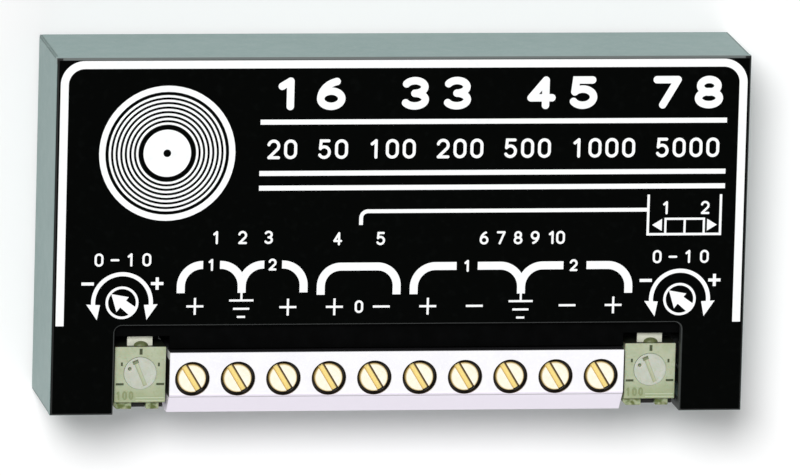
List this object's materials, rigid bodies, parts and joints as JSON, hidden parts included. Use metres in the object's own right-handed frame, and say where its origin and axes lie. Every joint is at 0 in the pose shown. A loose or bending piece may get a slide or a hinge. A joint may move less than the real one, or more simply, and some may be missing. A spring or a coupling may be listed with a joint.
{
  "type": "phono preamp",
  "caption": "Flat stick-down phono preamp module: folded metal case, black printed face, front row of screw terminals between two gain trimmers, slide switch in the right wall.",
  "frame": {"origin": "middle of the adhesive pad's underside, the face that sticks to the surface", "axes": "+Z out of the printed face, +X to the right of the face, -Y towards the wire entries"},
  "size_m": [0.0762, 0.0396, 0.0152],
  "materials": {
    "case_paint": "satin",
    "base_paint": "satin",
    "label_film": "satin",
    "pad_foam": "matte",
    "insulator_film": "matte",
    "board_mask": "satin",
    "zinc_steel": "satin",
    "terminal_white": "satin",
    "brass": "bright",
    "tinned_metal": "satin",
    "trimmer_plastic": "satin",
    "rotor_plastic": "satin",
    "trimmer_leads": "satin",
    "switch_base_plastic": "matte",
    "switch_slider_plastic": "satin",
    "film_box": "gloss",
    "can_aluminium": "satin",
    "chip_black": "matte",
    "chip_ceramic": "matte"
  },
  "bodies": {
    "root": {"adhesive_pad": "pad_foam", "base_plate": "base_paint", "case_cover": "case_paint", "face_label": "label_film", "insulator_sheet": "insulator_film", "circuit_board": "board_mask", "board_spacers": "zinc_steel", "cover_standoffs": "zinc_steel", "base_screws": "zinc_steel", "terminal_housing": "terminal_white", "terminal_contacts": "tinned_metal", "gain_left_body": "trimmer_plastic", "gain_left_leads": "trimmer_leads", "gain_right_body": "trimmer_plastic", "gain_right_leads": "trimmer_leads", "ground_switch_case": "zinc_steel", "ground_switch_base": "switch_base_plastic", "ground_switch_contacts": "tinned_metal", "film_capacitors": "film_box", "capacitor_bases": "switch_base_plastic", "electrolytic_capacitors": "can_aluminium", "op_amps": "chip_black", "op_amp_leads": "tinned_metal", "chip_resistors": "chip_black", "chip_capacitors": "chip_ceramic", "power_diode": "chip_black", "voltage_regulator": "chip_black"},
    "terminal_screw_01": {"terminal_screw_01": "brass"},
    "terminal_clamp_01": {"terminal_clamp_01": "brass"},
    "terminal_screw_02": {"terminal_screw_02": "brass"},
    "terminal_clamp_02": {"terminal_clamp_02": "brass"},
    "terminal_screw_03": {"terminal_screw_03": "brass"},
    "terminal_clamp_03": {"terminal_clamp_03": "brass"},
    "terminal_screw_04": {"terminal_screw_04": "brass"},
    "terminal_clamp_04": {"terminal_clamp_04": "brass"},
    "terminal_screw_05": {"terminal_screw_05": "brass"},
    "terminal_clamp_05": {"terminal_clamp_05": "brass"},
    "terminal_screw_06": {"terminal_screw_06": "brass"},
    "terminal_clamp_06": {"terminal_clamp_06": "brass"},
    "terminal_screw_07": {"terminal_screw_07": "brass"},
    "terminal_clamp_07": {"terminal_clamp_07": "brass"},
    "terminal_screw_08": {"terminal_screw_08": "brass"},
    "terminal_clamp_08": {"terminal_clamp_08": "brass"},
    "terminal_screw_09": {"terminal_screw_09": "brass"},
    "terminal_clamp_09": {"terminal_clamp_09": "brass"},
    "terminal_screw_10": {"terminal_screw_10": "brass"},
    "terminal_clamp_10": {"terminal_clamp_10": "brass"},
    "gain_left_rotor": {"gain_left_rotor": "rotor_plastic"},
    "gain_right_rotor": {"gain_right_rotor": "rotor_plastic"},
    "ground_switch_slider": {"ground_switch_slider": "switch_slider_plastic"}
  },
  "joints": [
    {"name": "screw_01_turn", "type": "hinge", "parent": "root", "child": "terminal_screw_01", "pos_m": [-0.0225, -0.0158, 0.0145], "axis": [0, 0, -1], "range_deg": [0, 1680]},
    {"name": "clamp_01_rise", "type": "slide", "parent": "root", "child": "terminal_clamp_01", "axis": [0, 0, 1], "range_m": [0, 0.0021]},
    {"name": "screw_02_turn", "type": "hinge", "parent": "root", "child": "terminal_screw_02", "pos_m": [-0.0175, -0.0158, 0.0145], "axis": [0, 0, -1], "range_deg": [0, 1680]},
    {"name": "clamp_02_rise", "type": "slide", "parent": "root", "child": "terminal_clamp_02", "axis": [0, 0, 1], "range_m": [0, 0.0021]},
    {"name": "screw_03_turn", "type": "hinge", "parent": "root", "child": "terminal_screw_03", "pos_m": [-0.0125, -0.0158, 0.0145], "axis": [0, 0, -1], "range_deg": [0, 1680]},
    {"name": "clamp_03_rise", "type": "slide", "parent": "root", "child": "terminal_clamp_03", "axis": [0, 0, 1], "range_m": [0, 0.0021]},
    {"name": "screw_04_turn", "type": "hinge", "parent": "root", "child": "terminal_screw_04", "pos_m": [-0.0075, -0.0158, 0.0145], "axis": [0, 0, -1], "range_deg": [0, 1680]},
    {"name": "clamp_04_rise", "type": "slide", "parent": "root", "child": "terminal_clamp_04", "axis": [0, 0, 1], "range_m": [0, 0.0021]},
    {"name": "screw_05_turn", "type": "hinge", "parent": "root", "child": "terminal_screw_05", "pos_m": [-0.0025, -0.0158, 0.0145], "axis": [0, 0, -1], "range_deg": [0, 1680]},
    {"name": "clamp_05_rise", "type": "slide", "parent": "root", "child": "terminal_clamp_05", "axis": [0, 0, 1], "range_m": [0, 0.0021]},
    {"name": "screw_06_turn", "type": "hinge", "parent": "root", "child": "terminal_screw_06", "pos_m": [0.0025, -0.0158, 0.0145], "axis": [0, 0, -1], "range_deg": [0, 1680]},
    {"name": "clamp_06_rise", "type": "slide", "parent": "root", "child": "terminal_clamp_06", "axis": [0, 0, 1], "range_m": [0, 0.0021]},
    {"name": "screw_07_turn", "type": "hinge", "parent": "root", "child": "terminal_screw_07", "pos_m": [0.0075, -0.0158, 0.0145], "axis": [0, 0, -1], "range_deg": [0, 1680]},
    {"name": "clamp_07_rise", "type": "slide", "parent": "root", "child": "terminal_clamp_07", "axis": [0, 0, 1], "range_m": [0, 0.0021]},
    {"name": "screw_08_turn", "type": "hinge", "parent": "root", "child": "terminal_screw_08", "pos_m": [0.0125, -0.0158, 0.0145], "axis": [0, 0, -1], "range_deg": [0, 1680]},
    {"name": "clamp_08_rise", "type": "slide", "parent": "root", "child": "terminal_clamp_08", "axis": [0, 0, 1], "range_m": [0, 0.0021]},
    {"name": "screw_09_turn", "type": "hinge", "parent": "root", "child": "terminal_screw_09", "pos_m": [0.0175, -0.0158, 0.0145], "axis": [0, 0, -1], "range_deg": [0, 1680]},
    {"name": "clamp_09_rise", "type": "slide", "parent": "root", "child": "terminal_clamp_09", "axis": [0, 0, 1], "range_m": [0, 0.0021]},
    {"name": "screw_10_turn", "type": "hinge", "parent": "root", "child": "terminal_screw_10", "pos_m": [0.0225, -0.0158, 0.0145], "axis": [0, 0, -1], "range_deg": [0, 1680]},
    {"name": "clamp_10_rise", "type": "slide", "parent": "root", "child": "terminal_clamp_10", "axis": [0, 0, 1], "range_m": [0, 0.0021]},
    {"name": "gain_left_turn", "type": "hinge", "parent": "root", "child": "gain_left_rotor", "pos_m": [-0.0281, -0.0153, 0.0138], "axis": [0, 0, 1], "range_deg": [-152, 88]},
    {"name": "gain_right_turn", "type": "hinge", "parent": "root", "child": "gain_right_rotor", "pos_m": [0.0281, -0.0153, 0.0138], "axis": [0, 0, 1], "range_deg": [-152, 88]},
    {"name": "ground_switch_slide", "type": "slide", "parent": "root", "child": "ground_switch_slider", "axis": [0, 1, 0], "range_m": [0, 0.002]}
  ],
  "couplings": [
    {"joint": "screw_01_turn", "follows": "clamp_01_rise", "rad_per_m": 13963},
    {"joint": "screw_02_turn", "follows": "clamp_02_rise", "rad_per_m": 13963},
    {"joint": "screw_03_turn", "follows": "clamp_03_rise", "rad_per_m": 13963},
    {"joint": "screw_04_turn", "follows": "clamp_04_rise", "rad_per_m": 13963},
    {"joint": "screw_05_turn", "follows": "clamp_05_rise", "rad_per_m": 13963},
    {"joint": "screw_06_turn", "follows": "clamp_06_rise", "rad_per_m": 13963},
    {"joint": "screw_07_turn", "follows": "clamp_07_rise", "rad_per_m": 13963},
    {"joint": "screw_08_turn", "follows": "clamp_08_rise", "rad_per_m": 13963},
    {"joint": "screw_09_turn", "follows": "clamp_09_rise", "rad_per_m": 13963},
    {"joint": "screw_10_turn", "follows": "clamp_10_rise", "rad_per_m": 13963}
  ]
}
